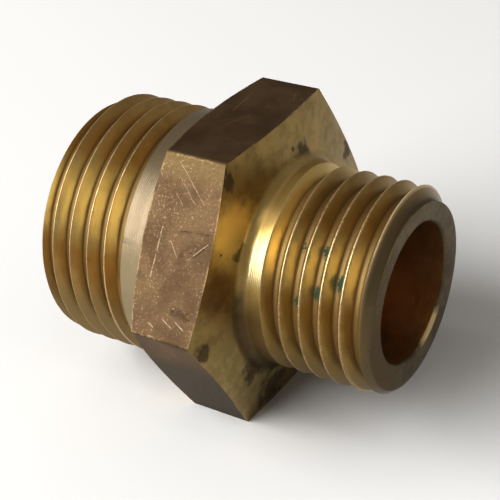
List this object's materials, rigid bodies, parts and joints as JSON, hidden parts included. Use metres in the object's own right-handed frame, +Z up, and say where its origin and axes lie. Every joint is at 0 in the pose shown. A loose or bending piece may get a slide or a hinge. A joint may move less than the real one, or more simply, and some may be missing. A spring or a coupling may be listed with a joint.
{
  "type": "reducing hex nipple",
  "caption": "Brass reducing hex nipple: a straight pipe coupling with a spanner hexagon and male pipe threads of two sizes round a stepped through bore.",
  "frame": {"origin": "on the surface that the part lies on, under the middle of its length and width", "axes": "+X along the bore towards the smaller thread's end, +Z up, out of the hexagon's top flat"},
  "size_m": [0.0226, 0.022, 0.019],
  "materials": {
    "brass": "turned brass on the threads and shanks, dull and speckled on the hexagon, lightly tarnished"
  },
  "bodies": {
    "root": {"hex_nipple": "brass"}
  },
  "joints": []
}
